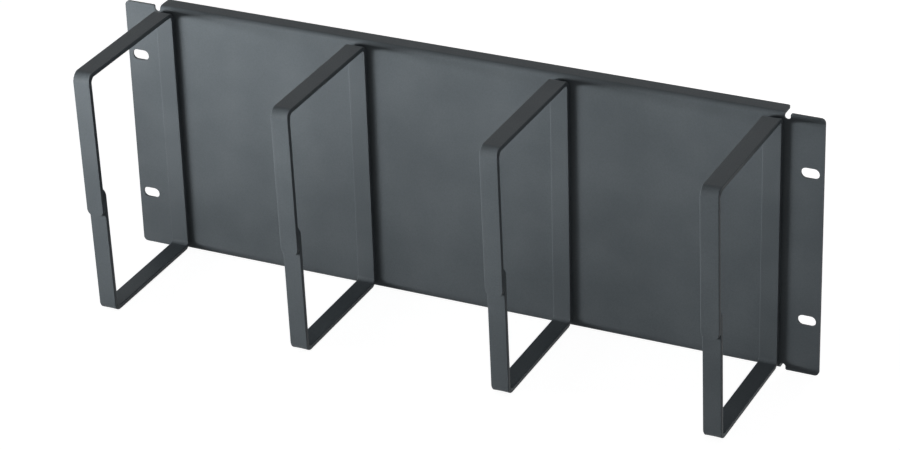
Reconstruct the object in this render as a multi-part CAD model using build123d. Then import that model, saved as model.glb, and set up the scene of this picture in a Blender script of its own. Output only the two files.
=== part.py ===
from build123d import *
import math
import os

# Rack cable management panel: a folded steel face that bolts to a 19-inch rack by its two ears,
# with four upright rings, bent from flat bar and spot welded to its front, that hold the cables.
# X runs along the panel, +Y points back into the rack, and +Z is up, in millimetres.
# The origin is the middle of the four rack slots, on the back of the ears.

# Folded panel
PANEL_WIDTH = 482.6        # over the ears
PANEL_HEIGHT = 177.0       # four rack units, less the usual gap
SHEET = 1.5                # thickness of the steel
BEND_INSIDE = 1.5          # inside radius of the two long folds
FLANGE_DEPTH = 12.0        # front of the face to the rear edge of a flange
EAR_WIDTH = 22.0           # outer edge of an ear to its relief notch
EAR_CORNER = 3.0           # radius of the outer corners of the ears
EAR_NOTCH_CORNER = 1.0     # radius of the corners beside the notches
FLANGE_CORNER = 2.0        # radius of the rear corners of the flanges

# Relief notches between the ears and the flanges
NOTCH_WIDTH = 4.0          # with a round bottom
NOTCH_RUNOUT = 1.2         # how far a notch runs on past the end of the fold

# Rack slots
SLOT_LENGTH = 12.0         # end to end, along X
SLOT_HEIGHT = 7.0
SLOT_FROM_EDGE = 8.75      # outer edge of an ear to the middle of its slots
SLOT_PITCH = 101.6         # lower slot to upper slot

# Rings of flat bar
RING_COUNT = 4
RING_LEFT_MARGIN = 4.1     # left end of the folds to the middle of the first ring
RING_RIGHT_MARGIN = 6.5    # middle of the last ring to the right end of the folds
RING_INSET = 2.0           # top or bottom edge of the panel to the ring
RING_DEPTH = 107.4         # front of the face to the front of the ring at its top
RING_LEAN = 1.9            # degrees that the front leg leans back towards its foot
BAR_WIDTH = 12.0
BAR_THICKNESS = 3.0
BAR_EDGE = 0.5             # width of the bevel along the bar's four edges
BAR_BEND = 3.0             # inside radius of the four bends of a ring

# Lap in the front leg, where the two ends of a bar meet
LAP_LENGTH = 19.0
LAP_DROP = 5.5             # middle of the ring down to the middle of the lap
END_FLAT = 2.0             # flat between the two rounded corners of a bar's end

# Dents that spot welding leaves
WELD_COUNT = 3             # up the back of the panel, behind each ring
WELD_PITCH = 60.0
WELD_WIDTH = 5.0
WELD_DEPTH = 0.4

bend_outside = BEND_INSIDE + SHEET
face_front = -SHEET
notch_depth = bend_outside + NOTCH_RUNOUT
folded_length = PANEL_WIDTH - 2 * (EAR_WIDTH + NOTCH_WIDTH)
ear_inner = PANEL_WIDTH / 2 - EAR_WIDTH
slot_spacing = PANEL_WIDTH - 2 * SLOT_FROM_EDGE
ring_height = PANEL_HEIGHT - 2 * RING_INSET
first_ring = RING_LEFT_MARGIN - folded_length / 2
last_ring = folded_length / 2 - RING_RIGHT_MARGIN
end_corner = (BAR_WIDTH - END_FLAT) / 2
lean_run = math.tan(math.radians(RING_LEAN))
lean_slant = 1 / math.cos(math.radians(RING_LEAN))
ring_pitch = (last_ring - first_ring) / (RING_COUNT - 1)
ring_places = [first_ring + index * ring_pitch for index in range(RING_COUNT)]


def weld_dent():
    """The shallow dish that a spot weld presses into a face; +Y points out of the metal."""
    radius = (WELD_WIDTH ** 2 / 4 + WELD_DEPTH ** 2) / (2 * WELD_DEPTH)
    return Pos(0, radius - WELD_DEPTH, 0) * Sphere(radius)


def fold_zone():
    """The band at the panel's top edge where the face gives way to the fold."""
    band = Rectangle(folded_length, bend_outside, align=(Align.CENTER, Align.MAX))
    return Pos(0, PANEL_HEIGHT / 2) * band


def notch():
    """The relief notch at the panel's top right, open at the top."""
    cut = SlotOverall(2 * notch_depth, NOTCH_WIDTH, rotation=90)
    return Pos((folded_length + NOTCH_WIDTH) / 2, PANEL_HEIGHT / 2) * cut


def beside_notch(corner):
    """Whether a corner of the flat outline is an ear's corner beside a notch."""
    at_notch = math.isclose(abs(corner.X), ear_inner, abs_tol=0.001)
    return at_notch and math.isclose(abs(corner.Y), PANEL_HEIGHT / 2, abs_tol=0.001)


def flat_outline():
    """The flat of the panel: the ears, their slots, and the face as far as the folds."""
    blank = Rectangle(PANEL_WIDTH, PANEL_HEIGHT)
    outline = fillet(blank.vertices(), EAR_CORNER)
    right_notch = notch()
    upper_cuts = [fold_zone(), right_notch, mirror(right_notch, Plane.YZ)]
    for cut in upper_cuts:
        outline -= cut
        outline -= mirror(cut, Plane.XZ)
    outline = fillet(outline.vertices().filter_by(beside_notch), EAR_NOTCH_CORNER)
    slot = SlotOverall(SLOT_LENGTH, SLOT_HEIGHT)
    for place in GridLocations(slot_spacing, SLOT_PITCH, 2, 2):
        outline -= place * slot
    return outline


def flange_section():
    """Section of the upper fold and its flange, in the YZ plane."""
    top = PANEL_HEIGHT / 2
    rear = face_front + FLANGE_DEPTH
    fold_y = face_front + bend_outside
    fold_z = top - bend_outside
    edges = [
        RadiusArc((face_front, fold_z), (fold_y, top), bend_outside),
        Line((fold_y, top), (rear, top)),
        Line((rear, top), (rear, top - SHEET)),
        Line((rear, top - SHEET), (fold_y, top - SHEET)),
        RadiusArc((fold_y, top - SHEET), (0, fold_z), -BEND_INSIDE),
        Line((0, fold_z), (face_front, fold_z)),
    ]
    return make_face(edges)


def make_flange():
    """The upper fold and its flange, with the rear corners rounded."""
    solid = extrude(Plane.YZ * flange_section(), folded_length / 2, both=True)
    rear_corners = solid.edges().filter_by(Axis.Z).group_by(Axis.Y)[-1]
    return fillet(rear_corners, FLANGE_CORNER)


def make_panel():
    """The folded panel: one sheet with its top and bottom edges turned back."""
    face = extrude(Plane.XZ * flat_outline(), SHEET)
    flange = make_flange()
    panel = face + flange + mirror(flange, Plane.XY)
    lowest_weld = -(WELD_COUNT - 1) * WELD_PITCH / 2
    for x in ring_places:
        for index in range(WELD_COUNT):
            panel -= Pos(x, 0, lowest_weld + index * WELD_PITCH) * weld_dent()
    return panel


def front_leg_depth(height, layer):
    """Depth of the middle of the bar in the front leg.

    Layer 0 is the upper end of the bar, which laps over the front.
    Layer 1 is the lower end, one thickness behind it.
    """
    outer_face = RING_DEPTH - (ring_height / 2 - height) * lean_run
    return outer_face - (layer + 0.5) * BAR_THICKNESS * lean_slant


def end_waste(flat):
    """What rounding takes off the end of a bar, on a plane that lies along its wide face."""
    square = Rectangle(2 * BAR_WIDTH, 2 * BAR_WIDTH)
    bar = Rectangle(BAR_WIDTH, 2 * BAR_WIDTH, align=(Align.CENTER, Align.MIN))
    rounded = fillet(bar.vertices().sort_by(Axis.Y)[:2], end_corner)
    return extrude(flat * (square - rounded), BAR_THICKNESS, both=True)


def bent_bar(points):
    """Half of a ring's bar: from its rounded end, bent through (depth, height) points."""
    path = FilletPolyline(
        *[(0, face_front - depth, height) for depth, height in points],
        radius=BAR_BEND + BAR_THICKNESS / 2,
    )
    across = Vector(1, 0, 0)
    along = path % 0
    square_on = Plane(origin=path @ 0, x_dir=across, z_dir=along)
    section = Rectangle(BAR_WIDTH, BAR_THICKNESS)
    bar = sweep(square_on * chamfer(section.vertices(), BAR_EDGE), path=path)
    return bar - end_waste(Plane(origin=path @ 0, x_dir=across, z_dir=across.cross(along)))


def make_ring():
    """One ring: a flat bar with four bends, whose ends lap and are welded in the front leg."""
    rear = BAR_THICKNESS / 2
    level = ring_height / 2 - BAR_THICKNESS / 2
    upper_tip = -LAP_DROP - LAP_LENGTH / 2
    lower_tip = upper_tip + LAP_LENGTH
    upper_bar = bent_bar([
        (front_leg_depth(upper_tip, 0), upper_tip),
        (front_leg_depth(level, 0), level),
        (rear, level),
        (rear, 0),
    ])
    lower_bar = bent_bar([
        (front_leg_depth(lower_tip, 1), lower_tip),
        (front_leg_depth(-level, 1), -level),
        (rear, -level),
        (rear, 0),
    ])
    lap_rear = front_leg_depth(-LAP_DROP, 1) - BAR_THICKNESS * lean_slant / 2
    lap_weld = Pos(0, face_front - lap_rear, -LAP_DROP) * Rot(RING_LEAN, 0, 0) * weld_dent()
    return upper_bar + lower_bar - lap_weld


os.makedirs("parts", exist_ok=True)
export_step(make_panel(), "parts/panel.step")
ring = make_ring()
for number, x in enumerate(ring_places, start=1):
    export_step(Pos(x, 0, 0) * ring, f"parts/ring_{number}.step")
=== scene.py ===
import math

import bmesh
import bpy
from mathutils import Euler, Matrix, Vector


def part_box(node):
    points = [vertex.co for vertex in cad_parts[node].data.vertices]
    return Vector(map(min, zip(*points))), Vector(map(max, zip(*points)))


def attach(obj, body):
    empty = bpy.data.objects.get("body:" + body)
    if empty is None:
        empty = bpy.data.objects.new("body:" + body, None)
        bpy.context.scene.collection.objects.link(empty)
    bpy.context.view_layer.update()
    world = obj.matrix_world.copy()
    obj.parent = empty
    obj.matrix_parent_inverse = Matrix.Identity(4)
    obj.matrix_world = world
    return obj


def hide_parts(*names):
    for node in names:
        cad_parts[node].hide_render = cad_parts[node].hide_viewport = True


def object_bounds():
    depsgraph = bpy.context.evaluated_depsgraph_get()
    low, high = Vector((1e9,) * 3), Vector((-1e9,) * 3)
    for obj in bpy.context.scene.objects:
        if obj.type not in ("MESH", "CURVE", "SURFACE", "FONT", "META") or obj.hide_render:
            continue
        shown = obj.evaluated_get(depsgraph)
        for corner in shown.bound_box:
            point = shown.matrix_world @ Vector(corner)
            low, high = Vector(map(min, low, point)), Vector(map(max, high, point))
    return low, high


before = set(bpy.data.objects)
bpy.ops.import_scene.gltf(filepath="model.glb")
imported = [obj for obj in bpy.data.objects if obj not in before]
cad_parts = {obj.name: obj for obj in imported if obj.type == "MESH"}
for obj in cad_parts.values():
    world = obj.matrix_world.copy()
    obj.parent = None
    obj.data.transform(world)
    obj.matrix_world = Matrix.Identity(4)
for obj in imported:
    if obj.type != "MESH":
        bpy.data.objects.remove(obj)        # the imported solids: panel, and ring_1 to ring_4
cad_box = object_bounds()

# Rack cable management panel: a folded steel face with two slotted ears, and four rings of
# flat bar on its front, all in one dark grey powder coat.
# Lengths are in metres, and MM turns millimetres into them.
MM = 0.001
PANEL = "panel"
RINGS = ["ring_1", "ring_2", "ring_3", "ring_4"]

# Flat bar of the rings
BAR_THICKNESS = 3.0 * MM
BAR_ROLLED_EDGE = 0.4 * MM     # radius that rolling leaves along the bar's four edges
BAR_BEND = 3.0 * MM            # inside radius of a bend
RING_DEPTH = 107.4 * MM        # front of the face to the front of a ring, at its top
RING_LEAN = math.radians(1.9)  # the front leg leans back towards its foot
LAP_LENGTH = 19.0 * MM         # the two ends of a bar lap in the front leg
LAP_DROP = 5.5 * MM            # middle of the ring down to the middle of the lap
END_FLAT = 2.0 * MM            # flat between the two rounded corners of a bar's end
BEND_STEPS = 12                # stations along one bend
END_STEPS = 10                 # stations along one rounded end
EDGE_STEPS = 4                 # faces round one rolled edge
FACE_CUTS = 5                  # extra points across each side of the bar
BEND_BULGE = 0.05              # share by which a bend squeezes the bar's inside wider
BEND_CURL = 0.18 * MM          # how far a bend lifts the bar's edges off its outside

# Edges of the sheet, as the coat rounds them
SHEET_EDGE = 0.3 * MM            # radius
SHEET_EDGE_STEPS = 3             # faces round one edge
SHARP_ANGLE = math.radians(30)   # an edge that turns more than this is rounded
MERGE_DISTANCE = 0.001 * MM      # points closer than this are one point
FLAT_ANGLE = math.radians(0.2)   # faces that turn less than this are one face
FLAT_FACE_WEIGHT = 100           # of 100, so that normals follow the large faces

# Camera, solved from the slots, the panel's outline and the rings' edges in the photograph
CAMERA_PLACE = Vector((815.30, -1687.12, 947.94)) * MM
CAMERA_AZIMUTH = math.radians(26.0932)
CAMERA_ELEVATION = math.radians(27.5656)
CAMERA_ROLL = math.radians(-1.8507)
SENSOR_WIDTH = 36.0            # a sensor and a lens are in millimetres here
LENS = 131.69

# Lamps: what each aims at, its azimuth and elevation from there in degrees, its distance, width
# and height in millimetres, its spread in degrees, and its watts
LAMPS = {
    "left_wide": ((-80, -30, 240), -57, -9, 1300, 500, 250, 70, 2.2),
    "left_gridded": ((-80, -30, 240), -64, -9, 1300, 500, 250, 35, 2.05),
    "back_fill": ((0, 0, 0), 160, 0, 800, 170, 170, 180, 3.0),
}
SURROUNDING = 0.22             # strength of the world where it lights the object

# Floor
FLOOR_SIZE = 6.0
FLOOR_COLOUR = "#A0A0A0"
FLOOR_SHOWN_WHITE = 0.93       # what the floor adds where it is seen, so that it looks white


def linear(code):
    """A colour socket's value for an sRGB hex code."""
    channels = [int(code[place:place + 2], 16) / 255 for place in (1, 3, 5)]
    return [*(c / 12.92 if c <= 0.04045 else ((c + 0.055) / 1.055) ** 2.4 for c in channels), 1.0]


def add_node(tree, kind, inputs=None, **settings):
    """Adds a node. A value of inputs is a number, a colour, or another node's output to link."""
    node = tree.nodes.new(kind)
    for name, value in settings.items():
        setattr(node, name, value)
    for socket, value in (inputs or {}).items():
        if isinstance(value, bpy.types.NodeSocket):
            tree.links.new(value, node.inputs[socket])
        else:
            node.inputs[socket].default_value = value
    return node


# Powder coat
COAT_DARKER = "#52585C"
COAT_LIGHTER = "#595F63"
COAT_SPECULAR = 0.1            # below a smooth coat's 0.5, because the grain shades itself
GRAIN = 0.9 * MM               # the real grain is about 0.3 mm, too fine to show in the render
GRAIN_HEIGHT = 0.02 * MM
ORANGE_PEEL = 3.5 * MM
ORANGE_PEEL_HEIGHT = 0.012 * MM
CLOUDING = 45.0 * MM           # slow drift of the tone, where the coat went on thicker
CLOUD_RANGE = (0.35, 0.65)     # values of the noise at the darker and the lighter tone
GRAIN_RANGE = (0.3, 0.7)       # values of the noise in the grain's hollows and on its tips
SPECKLE = (0.94, 1.06)         # share of the tone, in the hollows and on the tips
ROUGHNESS = (0.55, 0.45)       # in the hollows and on the tips


def powder_coated_steel():
    """Polyester powder, sprayed on and baked: a dark grey satin coat with a fine sandy grain.

    The grain scatters the gloss, so light falls off softly along a flat face. The orange peel
    under it makes the sheen waver a little.
    """
    material = bpy.data.materials.new("powder_coated_steel")
    material.use_nodes = True
    tree = material.node_tree
    shader = tree.nodes["Principled BSDF"]
    place = add_node(tree, "ShaderNodeTexCoord").outputs["Object"]
    clouds = add_node(tree, "ShaderNodeTexNoise", {
        "Vector": place, "Scale": 1 / CLOUDING, "Detail": 2.0,
    })
    tone = add_node(tree, "ShaderNodeValToRGB", {"Fac": clouds.outputs["Fac"]})
    for end, colour in enumerate((COAT_DARKER, COAT_LIGHTER)):
        tone.color_ramp.elements[end].position = CLOUD_RANGE[end]
        tone.color_ramp.elements[end].color = linear(colour)
    grain = add_node(tree, "ShaderNodeTexNoise", {
        "Vector": place, "Scale": 1 / GRAIN, "Detail": 3.0,
    })
    speckle = add_node(tree, "ShaderNodeMapRange", {
        "Value": grain.outputs["Fac"],
        "From Min": GRAIN_RANGE[0], "From Max": GRAIN_RANGE[1],
        "To Min": SPECKLE[0], "To Max": SPECKLE[1],
    })
    speckled = add_node(tree, "ShaderNodeVectorMath", {
        0: tone.outputs["Color"], 1: speckle.outputs["Result"],
    }, operation="MULTIPLY")
    sheen = add_node(tree, "ShaderNodeMapRange", {
        "Value": grain.outputs["Fac"],
        "From Min": GRAIN_RANGE[0], "From Max": GRAIN_RANGE[1],
        "To Min": ROUGHNESS[0], "To Max": ROUGHNESS[1],
    })
    peel = add_node(tree, "ShaderNodeTexNoise", {
        "Vector": place, "Scale": 1 / ORANGE_PEEL, "Detail": 1.0,
    })
    peel_bump = add_node(tree, "ShaderNodeBump", {
        "Height": peel.outputs["Fac"], "Strength": 1.0, "Distance": ORANGE_PEEL_HEIGHT,
    })
    grain_bump = add_node(tree, "ShaderNodeBump", {
        "Height": grain.outputs["Fac"], "Strength": 1.0, "Distance": GRAIN_HEIGHT,
        "Normal": peel_bump.outputs["Normal"],
    })
    tree.links.new(speckled.outputs["Vector"], shader.inputs["Base Color"])
    tree.links.new(sheen.outputs["Result"], shader.inputs["Roughness"])
    tree.links.new(grain_bump.outputs["Normal"], shader.inputs["Normal"])
    shader.inputs["Specular IOR Level"].default_value = COAT_SPECULAR
    return material


def plain_piece(name, built, node):
    """Turns an object and its modifiers into a plain mesh that stands for a node."""
    graph = bpy.context.evaluated_depsgraph_get()
    mesh = bpy.data.meshes.new_from_object(built.evaluated_get(graph), depsgraph=graph)
    mesh.name = name
    bpy.data.objects.remove(built)
    piece = bpy.data.objects.new(name, mesh)
    bpy.context.scene.collection.objects.link(piece)
    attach(piece, "root")
    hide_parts(node)


def make_panel(material):
    """The panel with its cut edges rounded by the coat."""
    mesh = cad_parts[PANEL].data.copy()
    shape = bmesh.new()
    shape.from_mesh(mesh)
    bmesh.ops.remove_doubles(shape, verts=shape.verts, dist=MERGE_DISTANCE)
    bmesh.ops.dissolve_limit(shape, angle_limit=FLAT_ANGLE, verts=shape.verts, edges=shape.edges)
    shape.to_mesh(mesh)
    shape.free()
    mesh.shade_smooth()
    mesh.materials.clear()
    mesh.materials.append(material)
    built = bpy.data.objects.new("built_panel", mesh)
    bpy.context.scene.collection.objects.link(built)
    bevel = built.modifiers.new("coat_rounds_edges", "BEVEL")
    bevel.width = SHEET_EDGE
    bevel.segments = SHEET_EDGE_STEPS
    bevel.limit_method = "ANGLE"
    bevel.angle_limit = SHARP_ANGLE
    weld = built.modifiers.new("no_double_points", "WELD")
    weld.merge_threshold = MERGE_DISTANCE
    weighted = built.modifiers.new("flat_faces_stay_flat", "WEIGHTED_NORMAL")
    weighted.weight = FLAT_FACE_WEIGHT
    plain_piece("coated_panel", built, PANEL)


# A ring's centreline lies in an upright plane: Y back into the rack, Z up
face_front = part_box(PANEL)[0].y
ring_low, ring_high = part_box(RINGS[0])
bar_width = ring_high.x - ring_low.x


def front_leg(height, layer):
    """Middle of the bar in the front leg. Layer 0 laps over the front of layer 1."""
    outer_face = face_front - RING_DEPTH + (ring_high.z - height) * math.tan(RING_LEAN)
    return Vector((0, outer_face + (layer + 0.5) * BAR_THICKNESS / math.cos(RING_LEAN), height))


def rounded_end(tip, inward):
    """Stations from a bar's tip to where it has its full width."""
    along = (inward - tip).normalized()
    end_corner = (bar_width - END_FLAT) / 2
    stations = []
    for step in range(END_STEPS + 1):
        angle = math.pi / 2 * step / END_STEPS
        width = END_FLAT + 2 * end_corner * math.sin(angle)
        point = tip + along * end_corner * (1 - math.cos(angle))
        stations.append((point, width / bar_width, Vector()))
    return stations


def bend(before, corner, after):
    """Stations round a bend. Each has a vector that points off the bend's outside."""
    back = (before - corner).normalized()
    ahead = (after - corner).normalized()
    turn = math.pi - back.angle(ahead)
    radius = BAR_BEND + BAR_THICKNESS / 2
    setback = radius * math.tan(turn / 2)
    centre = corner + (back + ahead).normalized() * math.hypot(radius, setback)
    arm = corner + back * setback - centre
    axis = ahead.cross(back)
    stations = []
    for step in range(BEND_STEPS + 1):
        outward = Matrix.Rotation(turn * step / BEND_STEPS, 3, axis) @ arm
        share = math.sin(math.pi * step / BEND_STEPS) ** 2
        stations.append((centre + outward, 1.0, outward.normalized() * share))
    return stations


def ring_centreline():
    """The ring's centreline, from the bar's upper end round to its lower one.

    Its points carry what the bar does there: its share of the full width, and how far it is bent.
    """
    top = ring_high.z - BAR_THICKNESS / 2
    bottom = ring_low.z + BAR_THICKNESS / 2
    rear = face_front - BAR_THICKNESS / 2
    corners = [
        front_leg(-LAP_DROP - LAP_LENGTH / 2, 0),
        front_leg(top, 0),
        Vector((0, rear, top)),
        Vector((0, rear, bottom)),
        front_leg(bottom, 1),
        front_leg(-LAP_DROP + LAP_LENGTH / 2, 1),
    ]
    stations = rounded_end(corners[0], corners[1])
    for before, corner, after in zip(corners, corners[1:], corners[2:]):
        stations += bend(before, corner, after)
    stations += reversed(rounded_end(corners[-1], corners[-2]))
    points, widths, bends = zip(*stations)
    mesh = bpy.data.meshes.new("ring_centreline")
    mesh.from_pydata(points, [(index, index + 1) for index in range(len(points) - 1)], [])
    mesh.attributes.new("width_share", "FLOAT", "POINT").data.foreach_set("value", widths)
    flat_bends = [number for vector in bends for number in vector]
    mesh.attributes.new("bent_off", "FLOAT_VECTOR", "POINT").data.foreach_set("vector", flat_bends)
    return mesh


def bent_bar_tree():
    """Geometry Nodes that sweep a flat bar with rolled edges along a centreline.

    The bar narrows to its rounded ends. In a bend its inside is squeezed wider, and its edges
    curl off the outside, as they do when flat bar is bent cold.
    """
    tree = bpy.data.node_groups.new("bent_flat_bar", "GeometryNodeTree")
    sockets = {
        "Centreline": "NodeSocketGeometry",
        "Bar Width": "NodeSocketFloat",
        "Bar Thickness": "NodeSocketFloat",
        "Rolled Edge": "NodeSocketFloat",
        "Edge Steps": "NodeSocketInt",
        "Face Cuts": "NodeSocketInt",
        "Bulge": "NodeSocketFloat",
        "Curl": "NodeSocketFloat",
        "Place": "NodeSocketVector",
        "Material": "NodeSocketMaterial",
    }
    for name, kind in sockets.items():
        tree.interface.new_socket(name, in_out="INPUT", socket_type=kind)
    tree.interface.new_socket("Bar", in_out="OUTPUT", socket_type="NodeSocketGeometry")
    given = add_node(tree, "NodeGroupInput").outputs

    # Section: a rectangle with rolled edges, and with cuts in its four straight sides
    rectangle = add_node(tree, "GeometryNodeCurvePrimitiveQuadrilateral", {
        "Width": given["Bar Width"], "Height": given["Bar Thickness"],
    })
    rolled = add_node(tree, "GeometryNodeFilletCurve", {
        "Curve": rectangle.outputs["Curve"],
        "Radius": given["Rolled Edge"], "Count": given["Edge Steps"],
    }, mode="POLY")
    corner_points = add_node(tree, "ShaderNodeMath", {
        0: given["Edge Steps"], 1: 1.0,
    }, operation="ADD")
    turn_of_point = add_node(tree, "ShaderNodeMath", {
        0: add_node(tree, "GeometryNodeInputIndex").outputs["Index"], 1: corner_points.outputs[0],
    }, operation="MODULO")
    ends_corner = add_node(tree, "ShaderNodeMath", {
        0: turn_of_point.outputs[0], 1: given["Edge Steps"], 2: 0.5,
    }, operation="COMPARE")
    cuts = add_node(tree, "ShaderNodeMath", {
        0: ends_corner.outputs[0], 1: given["Face Cuts"],
    }, operation="MULTIPLY")
    section = add_node(tree, "GeometryNodeSubdivideCurve", {
        "Curve": rolled.outputs["Curve"], "Cuts": cuts.outputs[0],
    })
    position = add_node(tree, "GeometryNodeInputPosition").outputs["Position"]
    axes = add_node(tree, "ShaderNodeSeparateXYZ", {"Vector": position}).outputs
    half_thickness = add_node(tree, "ShaderNodeMath", {
        0: given["Bar Thickness"], 1: 0.5,
    }, operation="MULTIPLY")
    off_centre = add_node(tree, "ShaderNodeMath", {
        0: axes["Y"], 1: half_thickness.outputs[0],
    }, operation="DIVIDE")
    marked = add_node(tree, "GeometryNodeStoreNamedAttribute", {
        "Geometry": section.outputs["Curve"], "Name": "off_centre", "Value": off_centre.outputs[0],
    }, data_type="FLOAT", domain="POINT")

    # Sweep
    path = add_node(tree, "GeometryNodeMeshToCurve", {"Mesh": given["Centreline"]})
    swept = add_node(tree, "GeometryNodeCurveToMesh", {
        "Curve": path.outputs["Curve"],
        "Profile Curve": marked.outputs["Geometry"], "Fill Caps": True,
    })
    kept_off_centre = add_node(tree, "GeometryNodeInputNamedAttribute", {"Name": "off_centre"})
    width_share = add_node(tree, "GeometryNodeInputNamedAttribute", {"Name": "width_share"})
    bent_off = add_node(tree, "GeometryNodeInputNamedAttribute", {
        "Name": "bent_off",
    }, data_type="FLOAT_VECTOR")

    # Width: what the end's rounding takes off, and what the bend squeezes out
    bent = add_node(tree, "ShaderNodeVectorMath", {
        0: bent_off.outputs["Attribute"],
    }, operation="LENGTH")
    squeezed = add_node(tree, "ShaderNodeMath", {
        0: bent.outputs["Value"], 1: kept_off_centre.outputs["Attribute"],
    }, operation="MULTIPLY")
    bulged = add_node(tree, "ShaderNodeMath", {
        0: squeezed.outputs[0], 1: given["Bulge"],
    }, operation="MULTIPLY")
    left_over = add_node(tree, "ShaderNodeMath", {
        0: 1.0, 1: bulged.outputs[0],
    }, operation="SUBTRACT")
    width_change = add_node(tree, "ShaderNodeMath", {
        0: width_share.outputs["Attribute"], 1: left_over.outputs[0], 2: -1.0,
    }, operation="MULTIPLY_ADD")
    sideways = add_node(tree, "ShaderNodeMath", {
        0: axes["X"], 1: width_change.outputs[0],
    }, operation="MULTIPLY")
    moved_sideways = add_node(tree, "ShaderNodeCombineXYZ", {"X": sideways.outputs[0]})

    # Curl: most at the bar's edges, none along its middle
    half_width = add_node(tree, "ShaderNodeMath", {
        0: given["Bar Width"], 1: 0.5,
    }, operation="MULTIPLY")
    edge_share = add_node(tree, "ShaderNodeMath", {
        0: axes["X"], 1: half_width.outputs[0],
    }, operation="DIVIDE")
    edge_square = add_node(tree, "ShaderNodeMath", {
        0: edge_share.outputs[0], 1: edge_share.outputs[0],
    }, operation="MULTIPLY")
    lift = add_node(tree, "ShaderNodeMath", {
        0: edge_square.outputs[0], 1: given["Curl"],
    }, operation="MULTIPLY")
    lifted = add_node(tree, "ShaderNodeVectorMath", {
        0: bent_off.outputs["Attribute"], "Scale": lift.outputs[0],
    }, operation="SCALE")
    moved = add_node(tree, "ShaderNodeVectorMath", {
        0: moved_sideways.outputs["Vector"], 1: lifted.outputs["Vector"],
    }, operation="ADD")
    shaped = add_node(tree, "GeometryNodeSetPosition", {
        "Geometry": swept.outputs["Mesh"], "Offset": moved.outputs["Vector"],
    })
    placed = add_node(tree, "GeometryNodeTransform", {
        "Geometry": shaped.outputs["Geometry"], "Translation": given["Place"],
    })
    smooth = add_node(tree, "GeometryNodeSetShadeSmooth", {
        "Geometry": placed.outputs["Geometry"],
    })
    realised = add_node(tree, "GeometryNodeRealizeInstances", {
        "Geometry": smooth.outputs["Geometry"],
    })
    coated = add_node(tree, "GeometryNodeSetMaterial", {
        "Geometry": realised.outputs["Geometry"], "Material": given["Material"],
    })
    add_node(tree, "NodeGroupOutput", {"Bar": coated.outputs["Geometry"]})
    return tree


def make_ring(name, tree, centreline, material):
    """One ring, where its solid is."""
    low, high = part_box(name)
    built = bpy.data.objects.new("built_" + name, centreline)
    bpy.context.scene.collection.objects.link(built)
    bent_bar = built.modifiers.new("bent_flat_bar", "NODES")
    bent_bar.node_group = tree
    values = {
        "Bar Width": bar_width,
        "Bar Thickness": BAR_THICKNESS,
        "Rolled Edge": BAR_ROLLED_EDGE,
        "Edge Steps": EDGE_STEPS,
        "Face Cuts": FACE_CUTS,
        "Bulge": BEND_BULGE,
        "Curl": BEND_CURL,
        "Place": Vector(((low.x + high.x) / 2, 0, 0)),
        "Material": material,
    }
    for socket in tree.interface.items_tree:
        if socket.name in values:
            bent_bar[socket.identifier] = values[socket.name]
    weighted = built.modifiers.new("flat_faces_stay_flat", "WEIGHTED_NORMAL")
    weighted.weight = FLAT_FACE_WEIGHT
    plain_piece("coated_" + name, built, name)


def seen_rays(tree):
    """1 for a ray from the camera, or from gloss or glass, and 0 for one that only lights."""
    rays = add_node(tree, "ShaderNodeLightPath").outputs
    gloss = add_node(tree, "ShaderNodeMath", {
        0: rays["Is Camera Ray"], 1: rays["Is Glossy Ray"],
    }, operation="ADD")
    return add_node(tree, "ShaderNodeMath", {
        0: gloss.outputs[0], 1: rays["Is Transmission Ray"],
    }, operation="ADD", use_clamp=True).outputs[0]


def make_floor():
    """Pale floor under the panel's lower edge. It looks white, and keeps the object's shadow."""
    half = FLOOR_SIZE / 2
    height = cad_box[0][2]
    mesh = bpy.data.meshes.new("floor")
    corners = [
        (-half, -half, height), (half, -half, height),
        (half, half, height), (-half, half, height),
    ]
    mesh.from_pydata(corners, [], [(0, 1, 2, 3)])
    floor = bpy.data.objects.new("floor", mesh)
    bpy.context.scene.collection.objects.link(floor)
    material = bpy.data.materials.new("painted_studio_floor")
    material.use_nodes = True
    tree = material.node_tree
    tree.nodes.clear()
    strength = add_node(tree, "ShaderNodeMath", {
        0: seen_rays(tree), 1: FLOOR_SHOWN_WHITE,
    }, operation="MULTIPLY")
    glow = add_node(tree, "ShaderNodeEmission", {"Strength": strength.outputs[0]})
    paint = add_node(tree, "ShaderNodeBsdfDiffuse", {"Color": linear(FLOOR_COLOUR)})
    both = add_node(tree, "ShaderNodeAddShader", {
        0: glow.outputs["Emission"], 1: paint.outputs["BSDF"],
    })
    add_node(tree, "ShaderNodeOutputMaterial", {"Surface": both.outputs["Shader"]})
    mesh.materials.append(material)


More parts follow.
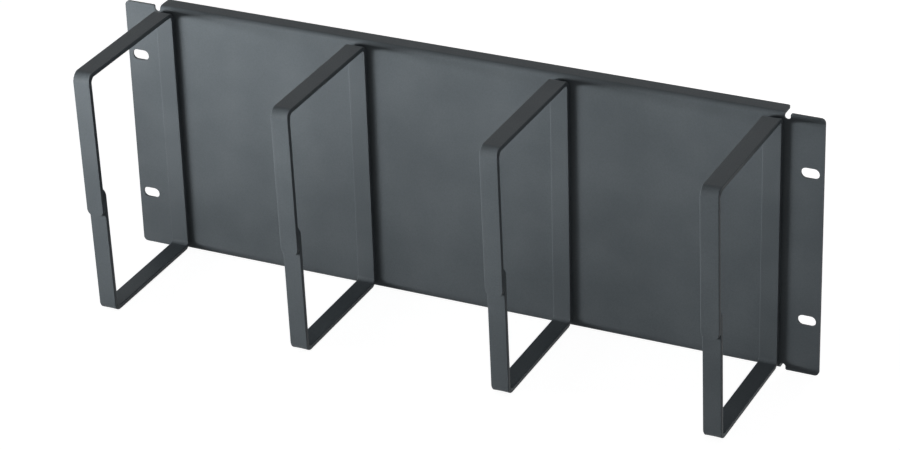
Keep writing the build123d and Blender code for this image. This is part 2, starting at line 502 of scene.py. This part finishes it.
def make_surroundings():
    """A world that looks white and lights the object dimly from all round."""
    world = bpy.data.worlds.new("studio")
    world.use_nodes = True
    tree = world.node_tree
    strength = add_node(tree, "ShaderNodeMapRange", {
        "Value": seen_rays(tree), "To Min": SURROUNDING, "To Max": 1.0,
    })
    background = tree.nodes["Background"]
    background.inputs["Color"].default_value = linear("#FFFFFF")
    tree.links.new(strength.outputs["Result"], background.inputs["Strength"])
    bpy.context.scene.world = world


def make_lamp(name, aim, azimuth, elevation, distance, width, height, spread, watts):
    """A softbox. An azimuth of 0 is in front of the panel, and +90 is at its right."""
    lamp = bpy.data.lights.new(name, "AREA")
    lamp.shape = "RECTANGLE"
    lamp.size = width * MM
    lamp.size_y = height * MM
    lamp.spread = math.radians(spread)
    lamp.energy = watts
    holder = bpy.data.objects.new(name, lamp)
    bpy.context.scene.collection.objects.link(holder)
    around = math.radians(azimuth)
    up = math.radians(elevation)
    towards = Vector((
        math.sin(around) * math.cos(up), -math.cos(around) * math.cos(up), math.sin(up)))
    holder.location = (Vector(aim) + distance * towards) * MM
    holder.rotation_euler = (-towards).to_track_quat("-Z", "Y").to_euler()


def make_camera():
    """The photograph's viewpoint."""
    camera = bpy.data.cameras.new("camera")
    camera.sensor_width = SENSOR_WIDTH
    camera.lens = LENS
    holder = bpy.data.objects.new("camera", camera)
    bpy.context.scene.collection.objects.link(holder)
    level = Euler((math.pi / 2 - CAMERA_ELEVATION, 0, CAMERA_AZIMUTH)).to_matrix()
    turned = level @ Matrix.Rotation(CAMERA_ROLL, 3, "Z")
    holder.matrix_world = Matrix.Translation(CAMERA_PLACE) @ turned.to_4x4()
    bpy.context.scene.camera = holder


coat = powder_coated_steel()
make_panel(coat)
bar_tree = bent_bar_tree()
bar_centreline = ring_centreline()
for ring_name in RINGS:
    make_ring(ring_name, bar_tree, bar_centreline, coat)
make_floor()
make_surroundings()
for lamp_name, facts in LAMPS.items():
    make_lamp(lamp_name, *facts)
make_camera()
bpy.context.scene.view_settings.view_transform = "Standard"
